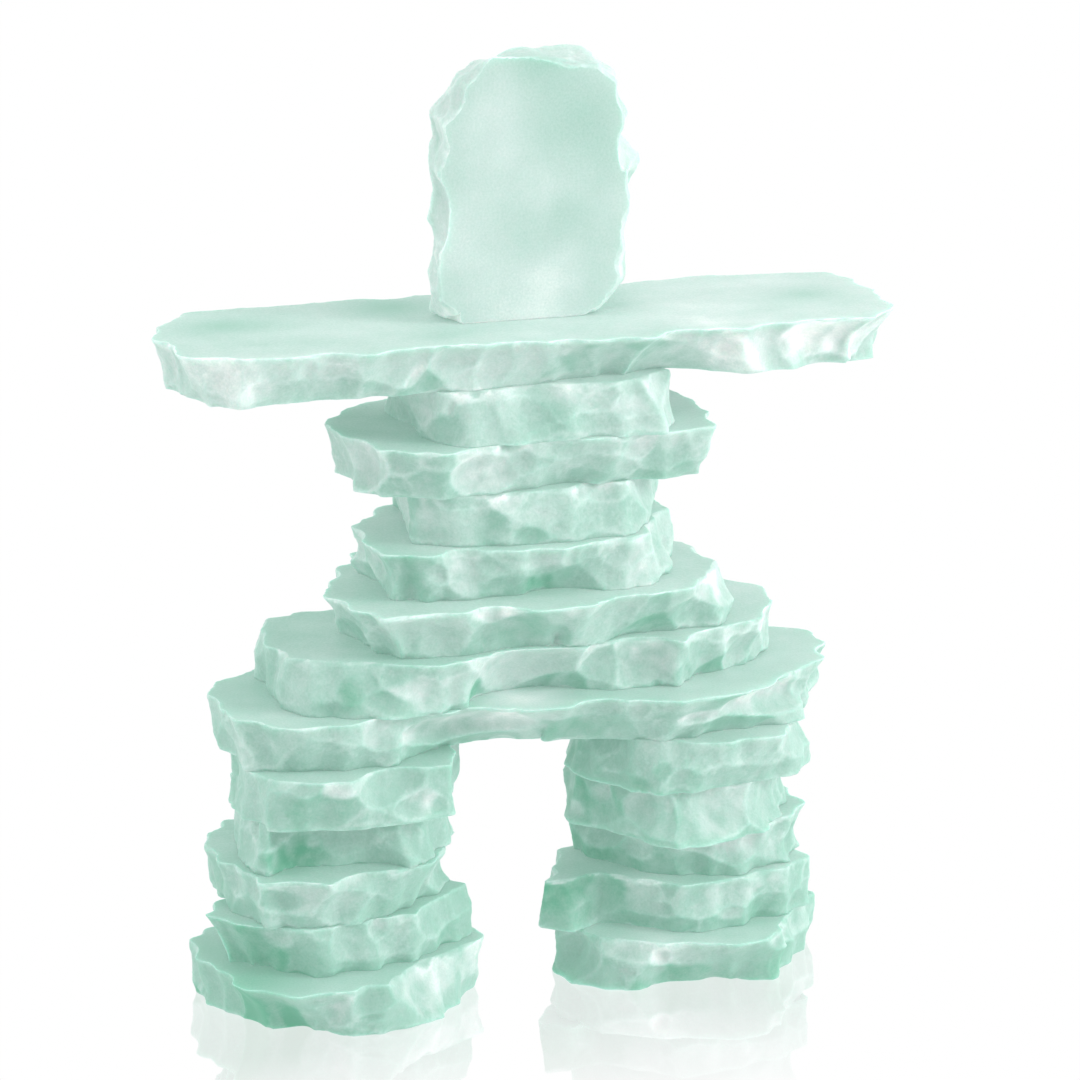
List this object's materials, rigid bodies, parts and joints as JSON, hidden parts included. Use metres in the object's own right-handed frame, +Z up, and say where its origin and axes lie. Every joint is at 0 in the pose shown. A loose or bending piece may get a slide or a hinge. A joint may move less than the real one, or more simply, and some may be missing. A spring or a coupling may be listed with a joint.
{
  "type": "inukshuk sculpture",
  "caption": "Standing inukshuk figure of stacked frosted glass slabs with struck rims: split legs, hips, body, long arms and an upright head.",
  "frame": {"origin": "middle of the figure's outline, on the surface that the feet stand on", "axes": "+Z up, -Y is the front, +X to the right of someone who looks at the front"},
  "size_m": [0.2802, 0.118, 0.3489],
  "materials": {
    "frosted_jade_glass": "sandblasted, matt and cloudy, jade green in the thickness, rims struck in shell-shaped scars"
  },
  "bodies": {
    "root": {"foot_left": "frosted_jade_glass", "leg_left_2": "frosted_jade_glass", "leg_left_3": "frosted_jade_glass", "leg_left_4": "frosted_jade_glass", "leg_left_5": "frosted_jade_glass", "foot_right": "frosted_jade_glass", "leg_right_2": "frosted_jade_glass", "leg_right_3": "frosted_jade_glass", "leg_right_4": "frosted_jade_glass", "leg_right_5": "frosted_jade_glass", "hips": "frosted_jade_glass", "body_1": "frosted_jade_glass", "body_2": "frosted_jade_glass", "body_3": "frosted_jade_glass", "body_4": "frosted_jade_glass", "body_5": "frosted_jade_glass", "body_6": "frosted_jade_glass", "arms": "frosted_jade_glass", "head": "frosted_jade_glass"}
  },
  "joints": []
}
